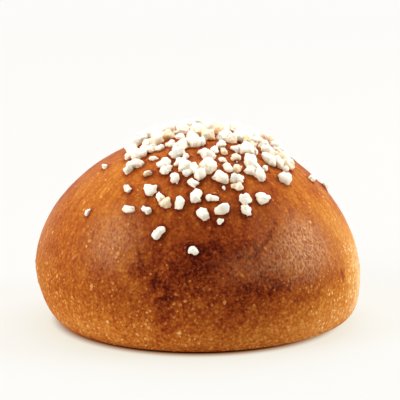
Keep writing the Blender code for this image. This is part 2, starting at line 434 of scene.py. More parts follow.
def seat_group():
    """The point of the crust under a place seen from above, and the outward direction there."""
    outputs = {"Position": (0.0, 0.0, 0.0), "Normal": (0.0, 0.0, 1.0)}
    inputs = {"East": 0.0, "North": 0.0, "Step": 0.002}
    tree, given, result = new_group("Seat on the crust", "GeometryNodeTree", inputs, outputs)
    bearing = calc(tree, "ARCTAN2", given["North"], given["East"])
    place = put(tree, "ShaderNodeCombineXYZ", {0: given["East"], 1: given["North"]}).outputs[0]
    reach, squareness = (
        use(tree, round_the_bun, dict(zip(SIDES, BUN_SIZES[size])) | {"Bearing": bearing})[0]
        for size in ("Reach", "Dome Squareness")
    )
    share = over(tree, vector(tree, "LENGTH", place), reach, clamp=True)
    angle = calc(tree, "ARCSINE", calc(tree, "POWER", share, over(tree, squareness, 2.0)))
    fall = calc(tree, "MAXIMUM", times(tree, angle, FALL_AT_WIDEST * 2 / math.pi), LEAST_FALL)

    def point(turn, way):
        moved_round = calc(tree, "MULTIPLY_ADD", given["Step"], turn, bearing)
        lower = calc(tree, "MULTIPLY_ADD", given["Step"], way, fall)
        return use(tree, bun_form, {"Bearing": moved_round, "Fall": lower})[0]

    down = vector(tree, "SUBTRACT", point(0.0, 1.0), point(0.0, -1.0))
    along = vector(tree, "SUBTRACT", point(1.0, 0.0), point(-1.0, 0.0))
    normal = vector(tree, "NORMALIZE", vector(tree, "CROSS_PRODUCT", down, along))
    tree.links.new(point(0.0, 0.0), result.inputs["Position"])
    tree.links.new(normal, result.inputs["Normal"])
    return tree


def attribute(tree, name):
    """A number kept on each point."""
    node = put(tree, "GeometryNodeInputNamedAttribute", {"Name": name}, data_type="FLOAT")
    return node.outputs[0]


def store(tree, geometry, name, value):
    """Keeps a number on each point for the material."""
    settings = {"data_type": "FLOAT", "domain": "POINT"}
    inputs = {"Geometry": geometry, "Name": name, "Value": value}
    return put(tree, "GeometryNodeStoreNamedAttribute", inputs, **settings).outputs[0]


def moved(tree, geometry, **where):
    """Geometry with its points at a new Position, or moved by an Offset."""
    return put(tree, "GeometryNodeSetPosition", {"Geometry": geometry} | where).outputs[0]


def dressed(tree, geometry, material):
    """Smoothly shaded, plain geometry with its material, as each piece's tree ends."""
    smooth = put(tree, "GeometryNodeSetShadeSmooth", {"Geometry": geometry}).outputs[0]
    whole = put(tree, "GeometryNodeRealizeInstances", {"Geometry": smooth}).outputs[0]
    inputs = {"Geometry": whole, "Material": material}
    return put(tree, "GeometryNodeSetMaterial", inputs).outputs[0]


def sugar_tree():
    """Shapes set on points of the crust, and then rounded, lumped and pitted."""
    inputs = {
        "Geometry": "Geometry",
        "Shapes": "Collection",
        "Lift": NIB_LIFT,
        "Fineness": 2,
        "Rounding": 0.20,
        "Lump Size": 0.0019,
        "Lump Middle": 0.46,
        "Lump Height": 0.0015,
        "Grain Size": 0.0009,
        "Grain Middle": 0.45,
        "Grain Height": 0.00014,
        "Full Lump Length": 0.0045,
        "Material": "Material",
    }
    outputs = {"Geometry": "Geometry"}
    tree, given, result = new_group("Pearl sugar", "GeometryNodeTree", inputs, outputs)
    length, spin, tip = (attribute(tree, name) for name in ("length", "spin", "tip"))
    above = {"East": attribute(tree, "east"), "North": attribute(tree, "north")}
    seat = use(tree, seat_group(), above)
    lifted = scaled(tree, seat["Normal"], times(tree, length, given["Lift"]))
    placed = moved(tree, given["Geometry"], Position=vector(tree, "ADD", seat["Position"], lifted))
    axes = {"Primary Axis": seat["Normal"], "Secondary Axis": (0.0, 0.0, 1.0)}
    upright = put(tree, "FunctionNodeAxesToRotation", axes, primary_axis="Z", secondary_axis="Y")
    turns = put(tree, "ShaderNodeCombineXYZ", {0: tip, 2: spin}).outputs[0]
    turned = put(tree, "FunctionNodeEulerToRotation", {0: turns}).outputs[0]
    rotation = put(
        tree,
        "FunctionNodeRotateRotation",
        {"Rotation": upright.outputs[0], "Rotate By": turned},
        rotation_space="LOCAL",
    )
    shapes = put(
        tree,
        "GeometryNodeCollectionInfo",
        {"Collection": given["Shapes"], "Separate Children": True, "Reset Children": True},
    )
    instances = put(
        tree,
        "GeometryNodeInstanceOnPoints",
        {
            "Points": placed,
            "Instance": shapes.outputs[0],
            "Pick Instance": True,
            "Instance Index": attribute(tree, "shape"),
            "Rotation": rotation.outputs[0],
            "Scale": length,
        },
    )
    whole = put(tree, "GeometryNodeRealizeInstances", {"Geometry": instances.outputs[0]}).outputs[0]
    finer = {"Mesh": whole, "Level": given["Fineness"]}
    finer = put(tree, "GeometryNodeSubdivideMesh", finer).outputs[0]
    here = put(tree, "GeometryNodeInputPosition").outputs[0]
    softened = put(
        tree,
        "GeometryNodeBlurAttribute",
        {"Value": here, "Iterations": 1, "Weight": given["Rounding"]},
        data_type="FLOAT_VECTOR",
    )
    soft = moved(tree, finer, Position=softened.outputs[0])
    # Blunt lumps and pits, smaller on the small nibs and crumbs.
    small = over(tree, length, given["Full Lump Length"], clamp=True)
    lumps = noise(tree, here, given["Lump Size"], 2.0, 0.6)
    grains = cells(tree, here, given["Grain Size"])["Distance"]
    lump = times(tree, minus(tree, lumps, given["Lump Middle"]), given["Lump Height"])
    grain = times(tree, minus(tree, given["Grain Middle"], grains), given["Grain Height"])
    out = times(tree, calc(tree, "MULTIPLY_ADD", lump, 2.0, grain), small)
    normal = put(tree, "GeometryNodeInputNormal").outputs[0]
    worn = moved(tree, soft, Offset=scaled(tree, normal, out))
    # How far each point stands out of the crust, as a share of the nib's length.
    from_seat = vector(tree, "SUBTRACT", here, seat["Position"])
    rise = over(tree, vector(tree, "DOT_PRODUCT", from_seat, seat["Normal"]), length)
    kept = store(tree, worn, "rise", rise)
    tree.links.new(dressed(tree, kept, given["Material"]), result.inputs[0])
    return tree


def grow(name, tree, values, mesh=None):
    """Runs a tree on an object, and leaves the plain mesh that comes out."""
    obj = bpy.data.objects.new(name, mesh or bpy.data.meshes.new(f"{name}_start"))
    bpy.context.scene.collection.objects.link(obj)
    modifier = obj.modifiers.new(name, "NODES")
    modifier.node_group = tree
    for item in tree.interface.items_tree:
        if item.in_out == "INPUT" and item.name in values:
            modifier[item.identifier] = values[item.name]
    graph = bpy.context.evaluated_depsgraph_get()
    obj.data = bpy.data.meshes.new_from_object(obj.evaluated_get(graph))
    obj.modifiers.clear()
    obj.data.name = name
    return obj


def new_material(name):
    """An empty material tree with a Principled BSDF, and the object's own coordinates."""
    made = bpy.data.materials.new(name)
    made.use_nodes = True
    tree = made.node_tree
    place = put(tree, "ShaderNodeTexCoord").outputs["Object"]
    return made, tree, tree.nodes["Principled BSDF"], place


def mixed(tree, share, first, second, blend="MIX"):
    """One colour blended over another."""
    inputs = {0: share}
    for socket, colour in ((6, first), (7, second)):
        linked = isinstance(colour, bpy.types.NodeSocket)
        inputs[socket] = colour if linked else (*colour, 1.0)
    return put(tree, "ShaderNodeMix", inputs, data_type="RGBA", blend_type=blend).outputs[2]


def kept_on(tree, name):
    """A number that a piece's mesh keeps on its points, read in its material."""
    return put(tree, "ShaderNodeAttribute", attribute_name=name).outputs["Fac"]


def sugar_material():
    """Opaque white sugar, matt and finely grained, with a warm tint where the oven caught it and a warm
    painted shade on the lower sides.
    """
    made, tree, shader, place = new_material("pearl_sugar_white")
    cloud = noise(tree, place, SUGAR_CLOUD_SIZE, 3.0)
    specks = noise(tree, place, SUGAR_SPECK_SIZE, 1.0)
    # Only a few nibs have turned yellow, and most are a little warmer low down than on top, partly
    # toasted and partly as painted warm shade.
    yellowed = between(tree, kept_on(tree, "tone"), *YELLOW_TONES)
    speckled = times(tree, yellowed, between(tree, specks, 0.42, 0.60, 0.30, 0.75))
    low = between(tree, kept_on(tree, "rise"), *TOASTED_AND_WARM_SHADE_RISE)
    low_toast_and_warm_shade = times(tree, low, between(tree, cloud, 0.30, 0.62, 0.35, 1.0))
    toast_and_warm_shade = calc(tree, "MULTIPLY_ADD", low_toast_and_warm_shade, TOASTING_AND_WARM_SHADE, speckled, clamp=True)
    white = mixed(tree, between(tree, cloud, 0.35, 0.65), *SUGAR_WHITES)
    crystals = cells(tree, place, CRYSTAL_SIZE)["Distance"]
    fine = noise(tree, place, CRYSTAL_SIZE_FINE, 2.0)
    height = calc(tree, "MULTIPLY_ADD", fine, 0.5, times(tree, crystals, -0.9))
    bump = {"Strength": 0.75, "Distance": CRYSTAL_DEPTH, "Height": height}
    sockets = {
        "Base Color": mixed(tree, toast_and_warm_shade, white, SUGAR_TOASTED_AND_WARM_SHADE),
        "Roughness": between(tree, fine, 0.3, 0.7, 0.55, 0.8),
        "Normal": put(tree, "ShaderNodeBump", bump).outputs[0],
        "Specular IOR Level": 0.35,
        "Subsurface Weight": 0.35,
        "Subsurface Radius": (1.0, 0.85, 0.7),
        "Subsurface Scale": GLOW_DEPTH,
    }
    fill(tree, shader, sockets)
    return made


draw = random.Random(SEED)
nib_shapes = bpy.data.collections.new("nib_shapes")
for number in range(NIB_SHAPES):
    nib_shape(number, draw, nib_shapes)
rows = nib_rows(draw)
places = bpy.data.meshes.new("nib_places")
places.from_pydata([(row[0], row[1], 0.0) for row in rows], [], [])
columns = list(zip(*rows)) + [[float(number % NIB_SHAPES) for number in range(len(rows))]]
for name, values in zip(("east", "north", "length", "spin", "tip", "tone", "shape"), columns):
    places.attributes.new(name, "FLOAT", "POINT").data.foreach_set("value", values)
pearl_sugar = grow(
    "pearl_sugar",
    sugar_tree(),
    {"Shapes": nib_shapes, "Material": sugar_material()},
    places,
)
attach(pearl_sugar, "root")
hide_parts("sugar_brioche")

# The crust: the bun's own skin, egg washed above and bare below the edge of the wash, browned by the
# oven from amber to dark chestnut, with painted light and shade in its colour in places. Its skin
# carries soft lobes, upright wrinkles, small blisters, a few short creases and a raised collar where it
# baked against each nib of sugar.
BUN_RADIUS = 0.045
# The relief in the mesh: broad swellings, uneven skin, and wrinkles drawn out down the bun.
SWELL_SIZE, SKIN_SIZE = 0.021, 0.0042
WRINKLE_SIZE, WRINKLE_SQUEEZE = 0.0030, 0.24
# The creases: both ends, half width and depth.
CREASES = (
    ((-0.0170, -0.0367, 0.0367), (-0.0157, -0.0418, 0.0264), 0.0007, 0.00025),
    ((0.0233, -0.0332, 0.0375), (0.0201, -0.0380, 0.0321), 0.0009, 0.00020),
    ((0.0201, -0.0380, 0.0321), (0.0165, -0.0417, 0.0275), 0.0009, 0.00025),
    ((0.0120, 0.0410, 0.0300), (0.0080, 0.0450, 0.0190), 0.0010, 0.00030),
)
# Where the crust is darker (+) or paler (-), mostly by the oven's browning and in two places by painted
# light: centre, size and strength.
BROWNING_AND_FLANK_LIGHT = (
    ((0.005, -0.045, 0.029), (0.020, 0.016, 0.014), 0.15),
    ((0.004, -0.044, 0.027), (0.009, 0.012, 0.010), 0.10),
    ((0.003, -0.046, 0.014), (0.024, 0.014, 0.009), 0.11),
    ((0.0045, -0.0435, 0.0290), (0.0045, 0.006, 0.0040), 0.06),
    ((-0.0020, -0.045, 0.0245), (0.0045, 0.006, 0.0030), 0.08),
    ((-0.0100, -0.043, 0.0240), (0.0060, 0.008, 0.0050), 0.06),
    ((-0.0158, -0.042, 0.0238), (0.0026, 0.006, 0.0028), 0.24),
    ((-0.0114, -0.044, 0.0208), (0.0028, 0.006, 0.0022), 0.14),
    ((-0.0070, -0.045, 0.0187), (0.0034, 0.006, 0.0026), 0.10),
    ((-0.0088, -0.046, 0.0130), (0.0024, 0.006, 0.0065), 0.16),
    ((0.0190, -0.042, 0.0190), (0.0110, 0.008, 0.0020), 0.15),
    ((0.0180, -0.042, 0.0240), (0.0050, 0.008, 0.0030), 0.12),
    ((0.0115, -0.0445, 0.0220), (0.0060, 0.006, 0.0040), -0.10),
    ((0.0120, -0.0455, 0.0130), (0.0070, 0.006, 0.0040), 0.04),
    ((0.0180, -0.0435, 0.0080), (0.0050, 0.006, 0.0040), -0.05),
    ((0.0310, -0.037, 0.0165), (0.0065, 0.008, 0.0055), 0.08),
    ((0.0365, -0.029, 0.0235), (0.0040, 0.006, 0.0035), -0.09),
    ((0.0427, -0.0216, 0.0180), (0.0020, 0.004, 0.0020), 0.18),
    ((-0.0120, -0.0425, 0.0285), (0.0060, 0.006, 0.0050), 0.08),
    ((-0.0120, -0.045, 0.0050), (0.0100, 0.008, 0.0050), 0.07),
    ((-0.0195, -0.041, 0.0255), (0.0040, 0.006, 0.0040), -0.07),
    ((-0.0165, -0.043, 0.0205), (0.0045, 0.006, 0.0035), -0.07),
    ((-0.0220, -0.042, 0.0165), (0.0040, 0.006, 0.0035), 0.06),
    ((-0.0330, -0.034, 0.0190), (0.0050, 0.006, 0.0045), -0.05),
    ((-0.0290, -0.036, 0.0065), (0.0080, 0.008, 0.0040), -0.05),
    ((0.0070, -0.040, 0.0370), (0.0100, 0.008, 0.0050), -0.09),
    ((0.0040, -0.046, 0.0210), (0.0040, 0.006, 0.0026), -0.07),
    ((0.0400, -0.016, 0.0340), (0.0060, 0.012, 0.0120), -0.22),
    ((-0.0370, -0.029, 0.0270), (0.0060, 0.008, 0.0060), -0.07),
    ((-0.0240, -0.036, 0.0300), (0.0080, 0.010, 0.0080), -0.05),
    # Painted light: the far right and far left flanks are paler where the side soft boxes light them.
    ((0.049, -0.005, 0.016), (0.008, 0.024, 0.022), -0.44),
    ((-0.049, -0.005, 0.018), (0.008, 0.020, 0.020), -0.12),
    ((-0.030, -0.019, 0.042), (0.014, 0.015, 0.010), -0.15),
    ((0.031, -0.018, 0.041), (0.012, 0.014, 0.010), -0.08),
    ((0.036, -0.030, 0.009), (0.014, 0.012, 0.010), -0.16),
    ((0.010, 0.044, 0.028), (0.020, 0.014, 0.010), 0.24),
    ((0.012, 0.043, 0.019), (0.012, 0.008, 0.0030), 0.16),
    ((-0.030, 0.034, 0.020), (0.012, 0.012, 0.010), -0.08),
    ((0.034, 0.030, 0.034), (0.012, 0.012, 0.010), 0.08),
)
# Where the egg wash ran together and dried to a dull bloom with some gloss; the bloom's pale pinkish
# colour is partly a painted highlight of the soft boxes.
WASH_POOLS_AND_SHEEN = (
    ((-0.024, -0.036, 0.032), (0.008, 0.010, 0.008), 0.58),
    ((0.031, -0.033, 0.028), (0.012, 0.012, 0.009), 0.95),
    ((0.016, -0.043, 0.025), (0.009, 0.008, 0.005), 0.24),
    ((0.027, 0.034, 0.031), (0.014, 0.013, 0.012), 0.70),
    ((-0.030, 0.030, 0.032), (0.012, 0.012, 0.012), 0.55),
    ((-0.046, -0.002, 0.028), (0.010, 0.014, 0.010), 0.30),
)
# Where the skin tore into short pale straws, and where it has fewer pale flecks than elsewhere.
TORN_SKIN = (((0.033, -0.033, 0.010), (0.014, 0.014, 0.009), 1.0),)
PLAIN_SKIN = (((0.020, -0.042, 0.008), (0.020, 0.014, 0.010), 1.0),)
# The colour's patterns: size, detail and roughness. A drawn one starts with its squeeze, a factor
# on the way from the crown down to the foot, which draws the pattern out where it is below 1.
EVEN_PATTERNS = {
    "broad": (0.034, 2.0, 0.5),
    "blotch": (0.011, 3.0, 0.55),
    "mottle": (0.0030, 3.0, 0.6),
    "grain": (0.0009, 2.0, 0.6),
    "clusters": (0.0065, 1.0, 0.5),
}
DRAWN_PATTERNS = {
    "drawn": (0.22, 0.0024, 3.0, 0.6),
    "wrinkles": (0.60, 0.0019, 2.0, 0.6),
    "straws": (0.30, 0.0013, 1.0, 0.5),
}
WRINKLE_WIDTH = 0.070
NET_SQUEEZE, NET_SIZE = 0.55, 0.00072
SKIN_CELL_SIZE = 0.0011
FINE_BLISTERS = {"Size": 0.0012, "Share Low": 0.66, "Share High": 0.08}
# Patches of browning, painted light and bloom have ragged edges, because they are looked up off their
# true place.
RAGGED_SIZE, RAGGED_REACH = 0.0035, 0.007
# The egg wash ends at this height, and its edge wanders up and down round the bun.
WASH_EDGE, WASH_WANDER = 0.0185, 0.012
WASH_FADE = (-0.0040, 0.0050)
LOWER_FLANK = (0.040, 0.024)
# The browning at each share of this height, and the colour at each level of browning. The very base is
# darkest, partly tray browning and partly painted shade under the foot.
FULL_HEIGHT = 0.060
BROWNING_AND_BASE_SHADE_BY_HEIGHT = (
    (0.00, 0.68),
    (0.03, 0.40),
    (0.08, 0.35),
    (0.16, 0.42),
    (0.28, 0.49),
    (0.44, 0.53),
    (0.70, 0.51),
    (1.00, 0.46),
)
CRUST_COLOURS = (
    (0.00, (0.79, 0.60, 0.31)),
    (0.20, (0.63, 0.268, 0.049)),
    (0.40, (0.46, 0.138, 0.0165)),
    (0.55, (0.34, 0.074, 0.0105)),
    (0.70, (0.23, 0.038, 0.0068)),
    (0.85, (0.13, 0.016, 0.0040)),
    (1.00, (0.055, 0.006, 0.003)),
)
# How much each pattern changes the browning, and two that do so otherwise on the lower flank.
TONE_SHARES = {
    "broad": 0.16,
    "blotch": 0.24,
    "mottle": 0.26,
    "drawn": 0.48,
    "grain": 0.24,
    "skin": 0.12,
}
LOW_TONE_SHARES = {"drawn": 0.16, "grain": 0.58}
# The crust darkens round each nib, partly caramel and partly painted shade, and along the creases as
# painted shade.
COLLAR_CARAMEL_AND_SHADE, CREASE_SHADE_TONE, PALE_TONE = 0.26, 0.17, -0.30
CREASE_SHADE_WIDTH = 0.75
PALE_COLOUR = (0.84, 0.47, 0.17)
# The bloom colour is partly dried egg wash and partly a painted highlight.
BLOOM_AND_SHEEN_COLOUR = (0.69, 0.35, 0.145)
FOOT, FOOT_TINT = (0.016, 0.005), (1.05, 0.98, 1.06)
BLOOM_AND_SHEEN_EVEN, BLOOM_AND_SHEEN_NET, BLOOM_AND_SHEEN_WRINKLES = 0.10, 0.42, 0.30
ROUGH_BARE, ROUGH_WASHED, ROUGH_CHANGE = 0.56, 0.38, 0.25
COAT_THIN, COAT_THICKER, COAT_POOL = 0.01, 0.06, 0.14
BUMP_SHARES = {
    "mottle": 0.20,
    "drawn": 0.16,
    "grain": 0.16,
    "wrinkles": 0.06,
    "dried net": 0.08,
    "skin": -0.10,
    "flecks": 0.10,
    "fine flecks": 0.06,
}


def centred(tree, pattern):
    """A pattern that goes both ways from 0, out of one from 0 to 1."""
    return minus(tree, pattern, 0.5)


def height_of(tree, place):
    """How high a place is above the base."""
    return put(tree, "ShaderNodeSeparateXYZ", {0: place}).outputs[2]


def blended(tree, share, first, second):
    """One number blended into another."""
    return put(tree, "ShaderNodeMix", {0: share, 2: first, 3: second}).outputs[0]


def spot_group():
    """A soft spot, 1 in its middle and fading to 0 round it."""
    zero = (0.0, 0.0, 0.0)
    inputs = {"Place": zero, "Centre": zero, "Size": (1.0, 1.0, 1.0), "Strength": 1.0}
    tree, given, result = new_group("Soft spot", "ShaderNodeTree", inputs, {"Amount": 0.0})
    away = vector(tree, "SUBTRACT", given["Place"], given["Centre"])
    away = vector(tree, "DIVIDE", away, given["Size"])
    steep = calc(tree, "POWER", vector(tree, "DOT_PRODUCT", away, away), 1.4)
    fade = calc(tree, "EXPONENT", times(tree, steep, -1.0))
    tree.links.new(times(tree, fade, given["Strength"]), result.inputs[0])
    return tree


soft_spot = spot_group()


def spots(tree, place, rows):
    """The sum of soft spots, each given by its centre, size and strength."""
    names = ("Centre", "Size", "Strength")
    return added(
        tree, *[use(tree, soft_spot, {"Place": place} | dict(zip(names, row)))[0] for row in rows]
    )


def crease_group(kind):
    """How strongly a place lies in the crease between two points, from 0 to 1."""
    zero = (0.0, 0.0, 0.0)
    inputs = {"Place": zero, "Start": zero, "End": (0.0, 0.0, 1.0), "Width": 1.0}
    tree, given, result = new_group("Crease", kind, inputs, {"Amount": 0.0})
    line = vector(tree, "SUBTRACT", given["End"], given["Start"])
    away = vector(tree, "SUBTRACT", given["Place"], given["Start"])
    square = vector(tree, "DOT_PRODUCT", line, line)
    along = over(tree, vector(tree, "DOT_PRODUCT", away, line), square, clamp=True)
    foot = vector(tree, "SUBTRACT", away, scaled(tree, line, along))
    near = bell(tree, over(tree, vector(tree, "LENGTH", foot), given["Width"]))
    ends = calc(tree, "SINE", calc(tree, "MULTIPLY_ADD", along, math.pi * 0.8, math.pi * 0.1))
    tree.links.new(times(tree, near, ends), result.inputs[0])
    return tree


def creases_at(tree, place, widen=1.0):
    """How strongly a place lies in each of the creases."""
    crease = crease_group(tree.bl_idname)
    return [
        use(tree, crease, {"Place": place, "Start": start, "End": end, "Width": width * widen})[0]
        for start, end, width, _ in CREASES
    ]


def blister_group(kind):
    """Small round blisters of the skin, crowded low on the flank and rare above the wash."""
    inputs = {
        "Place": (0.0, 0.0, 0.0),
        "Size": 0.0017,
        "Share Low": 0.60,
        "Share High": 0.05,
        "Low": 0.012,
        "High": 0.038,
        "Least Radius": 0.18,
        "Most Added": 0.30,
        "Full Hill": 0.45,
    }
    tree, given, result = new_group("Blisters", kind, inputs, {"Amount": 0.0})
    cell = cells(tree, given["Place"], given["Size"])
    rank, growth, _ = put(tree, "ShaderNodeSeparateXYZ", {0: cell["Color"]}).outputs
    up = between(tree, height_of(tree, given["Place"]), given["Low"], given["High"])
    wanted = blended(tree, up, given["Share Low"], given["Share High"])
    chosen = calc(tree, "LESS_THAN", rank, wanted)
    growth = squared(tree, growth)
    radius = calc(tree, "MULTIPLY_ADD", growth, given["Most Added"], given["Least Radius"])
    hill = calc(tree, "SUBTRACT", 1.0, over(tree, cell["Distance"], radius), clamp=True)
    hill = between(tree, hill, 0.0, given["Full Hill"])
    tree.links.new(times(tree, hill, chosen), result.inputs[0])
    return tree


def down_the_bun(tree, place, squeeze):
    """Coordinates that draw a pattern out along the lines from the crown down to the foot."""
    flat = vector(tree, "MULTIPLY", place, (1.0, 1.0, 0.0))
    fallen = minus(tree, height_of(tree, place), vector(tree, "LENGTH", flat))
    lengthwise = put(tree, "ShaderNodeCombineXYZ", {2: times(tree, fallen, squeeze)}).outputs[0]
    across = scaled(tree, vector(tree, "NORMALIZE", flat), BUN_RADIUS)
    return vector(tree, "ADD", across, lengthwise)


def crust_tree():
    """A cube drawn out to the bun's form, with the low relief of its skin."""
    inputs = {
        "Rows": 126,
        "Base Share": 0.80,
        "Swell Height": 0.0005,
        "Skin Height": 0.00022,
        "Wrinkle Height": 0.00016,
        "Blister Height": 0.00012,
        "Collar Height": 0.00030,
        "Collar Width": 0.0008,
        "Sugar": "Object",
        "Material": "Material",
    }
    tree, given, result = new_group("Crust", "GeometryNodeTree", inputs, {"Geometry": "Geometry"})
    counts = {f"Vertices {axis}": given["Rows"] for axis in "XYZ"}
    cube = put(tree, "GeometryNodeMeshCube", {"Size": (2.0, 2.0, 2.0)} | counts).outputs[0]
    here = put(tree, "GeometryNodeInputPosition").outputs[0]
    ball = vector(tree, "NORMALIZE", vector(tree, "TANGENT", scaled(tree, here, math.pi / 4)))
    east, north, up = put(tree, "ShaderNodeSeparateXYZ", {0: ball}).outputs
    bearing = calc(tree, "ARCTAN2", north, east)
    share = over(tree, calc(tree, "ARCCOSINE", up), math.pi)
    # Fewer rows of points under the base leave more for the flank and the dome.
    above = times(tree, over(tree, share, given["Base Share"], clamp=True), FALL_AT_BASE)
    past = calc(tree, "MAXIMUM", minus(tree, share, given["Base Share"]), 0.0)
    under = over(tree, past, minus(tree, 1.0, given["Base Share"]))
    fall = calc(tree, "MULTIPLY_ADD", under, 1.0 - FALL_AT_BASE, above)
    form = use(tree, bun_form, {"Bearing": bearing, "Fall": fall})[0]
    bare = moved(tree, cube, Position=form)

    height = height_of(tree, here)
    clear_of_base = between(tree, height, 0.0006, 0.0050)
    normal = put(tree, "GeometryNodeInputNormal").outputs[0]
    swell = centred(tree, noise(tree, here, SWELL_SIZE, 1.0))
    swell = times(tree, swell, clear_of_base, given["Swell Height"])
    swelled = moved(tree, bare, Offset=scaled(tree, normal, swell))
    skin = centred(tree, noise(tree, here, SKIN_SIZE, 2.0, 0.55))
    drawn = down_the_bun(tree, here, WRINKLE_SQUEEZE)
    drawn = centred(tree, noise(tree, drawn, WRINKLE_SIZE, 2.0, 0.6))
    above_foot = between(tree, height, 0.012, 0.024)
    below_crown = between(tree, height, 0.052, 0.040)
    shoulder = times(tree, above_foot, below_crown)
    blisters = use(tree, blister_group("GeometryNodeTree"), {"Place": here})[0]
    sugar = put(tree, "GeometryNodeObjectInfo", {"Object": given["Sugar"]}).outputs["Geometry"]
    nearest = put(tree, "GeometryNodeProximity", {"Geometry": sugar}, target_element="FACES")
    collar = bell(tree, over(tree, nearest.outputs["Distance"], given["Collar Width"]))
    parts = [
        times(tree, skin, given["Skin Height"]),
        times(tree, drawn, shoulder, given["Wrinkle Height"]),
        times(tree, blisters, given["Blister Height"]),
        times(tree, collar, given["Collar Height"]),
    ]
    for amount, (*_, depth) in zip(creases_at(tree, here), CREASES):
        parts.append(times(tree, amount, -depth))
    relief = times(tree, added(tree, *parts), clear_of_base)
    kept = store(tree, swelled, "near_sugar", collar)
    finished = moved(tree, kept, Offset=scaled(tree, normal, relief))
    tree.links.new(dressed(tree, finished, given["Material"]), result.inputs[0])
    return tree


def ramp(tree, value, stops):
    """A colour ramp through the given places and colours."""
    node = put(tree, "ShaderNodeValToRGB", {0: value})
    elements = node.color_ramp.elements
    while len(elements) < len(stops):
        elements.new(0.5)
    for element, (place, colour) in zip(elements, stops):
        element.position = place
        element.color = (*colour, 1.0)
    return node.outputs[0]


def curve(tree, value, points):
    """A value read off a smooth curve."""
    node = put(tree, "ShaderNodeFloatCurve", {"Value": value})
    line = node.mapping.curves[0].points
    while len(line) < len(points):
        line.new(0.5, 0.5)
    for point, place in zip(line, points):
        point.location = place
    node.mapping.update()
    return node.outputs[0]


def crust_patterns(tree, place):
    """All the patterns of the crust by name, each from 0 to 1."""
    found = {name: noise(tree, place, *sizes) for name, sizes in EVEN_PATTERNS.items()}
    for name, (squeeze, *sizes) in DRAWN_PATTERNS.items():
        found[name] = noise(tree, down_the_bun(tree, place, squeeze), *sizes)
    # Wrinkles are thin winding lines where their noise passes through its middle.
    off_middle = calc(tree, "ABSOLUTE", centred(tree, found["wrinkles"]))
    found["wrinkles"] = between(tree, off_middle, WRINKLE_WIDTH, 0.0)
    found["straws"] = between(tree, found["straws"], 0.64, 0.74)
    net = cells(tree, down_the_bun(tree, place, NET_SQUEEZE), NET_SIZE)["Distance"]
    found["net"] = between(tree, net, 0.34, 0.66)
    skin = cells(tree, place, SKIN_CELL_SIZE)["Distance"]
    found["skin"] = between(tree, skin, 0.12, 0.62)
    blisters = blister_group("ShaderNodeTree")
    found["flecks"] = use(tree, blisters, {"Place": place})[0]
    found["fine flecks"] = use(tree, blisters, {"Place": place} | FINE_BLISTERS)[0]
    return found


def browning_with_painted_light(tree, ragged, height, low, pattern, creased):
    """How dark the crust is, from 0 at its palest to 1 where it is nearly black: the oven's browning,
    with painted light on the far flanks and painted shade in the creases, round the nibs and at the
    base.
    """
    granular = added(tree, pattern["grain"], pattern["mottle"])
    granular = between(tree, granular, 0.75, 1.30, 0.75, 1.25)
    level = [
        curve(tree, over(tree, height, FULL_HEIGHT), BROWNING_AND_BASE_SHADE_BY_HEIGHT),
        times(tree, spots(tree, ragged, BROWNING_AND_FLANK_LIGHT), granular),
    ]
    for name, amount in TONE_SHARES.items():
        if name in LOW_TONE_SHARES:
            amount = blended(tree, low, amount, LOW_TONE_SHARES[name])
        level.append(times(tree, centred(tree, pattern[name]), amount))
    # Darker round each nib of sugar: partly caramelised sugar, partly painted shade.
    level.append(times(tree, kept_on(tree, "near_sugar"), COLLAR_CARAMEL_AND_SHADE))
    # Painted shade along the creases, broken up by the mottle.
    broken = between(tree, pattern["mottle"], 0.38, 0.58, 0.35, 1.0)
    level.append(times(tree, creased, broken, CREASE_SHADE_TONE))
    return added(tree, *level)


def paleness(tree, place, low, pattern, browned_and_painted):
    """How pale the tops of the blisters and the torn skin stayed; less so where it is darkest."""
    torn = calc(tree, "MULTIPLY_ADD", low, 0.22, spots(tree, place, TORN_SKIN))
    torn = times(tree, torn, pattern["straws"])
    flecks = times(tree, pattern["flecks"], 0.75)
    flecks = calc(tree, "MULTIPLY_ADD", pattern["fine flecks"], 0.75, flecks)
    clustered = between(tree, pattern["clusters"], 0.40, 0.60, 0.40, 1.10)
    fewer = between(tree, spots(tree, place, PLAIN_SKIN), 0.0, 1.0, 1.0, 0.50)
    pale = times(tree, flecks, clustered, fewer)
    pale = calc(tree, "MULTIPLY_ADD", torn, 0.26, pale, clamp=True)
    return times(tree, pale, between(tree, browned_and_painted, 0.60, 0.90, 1.0, 0.50))


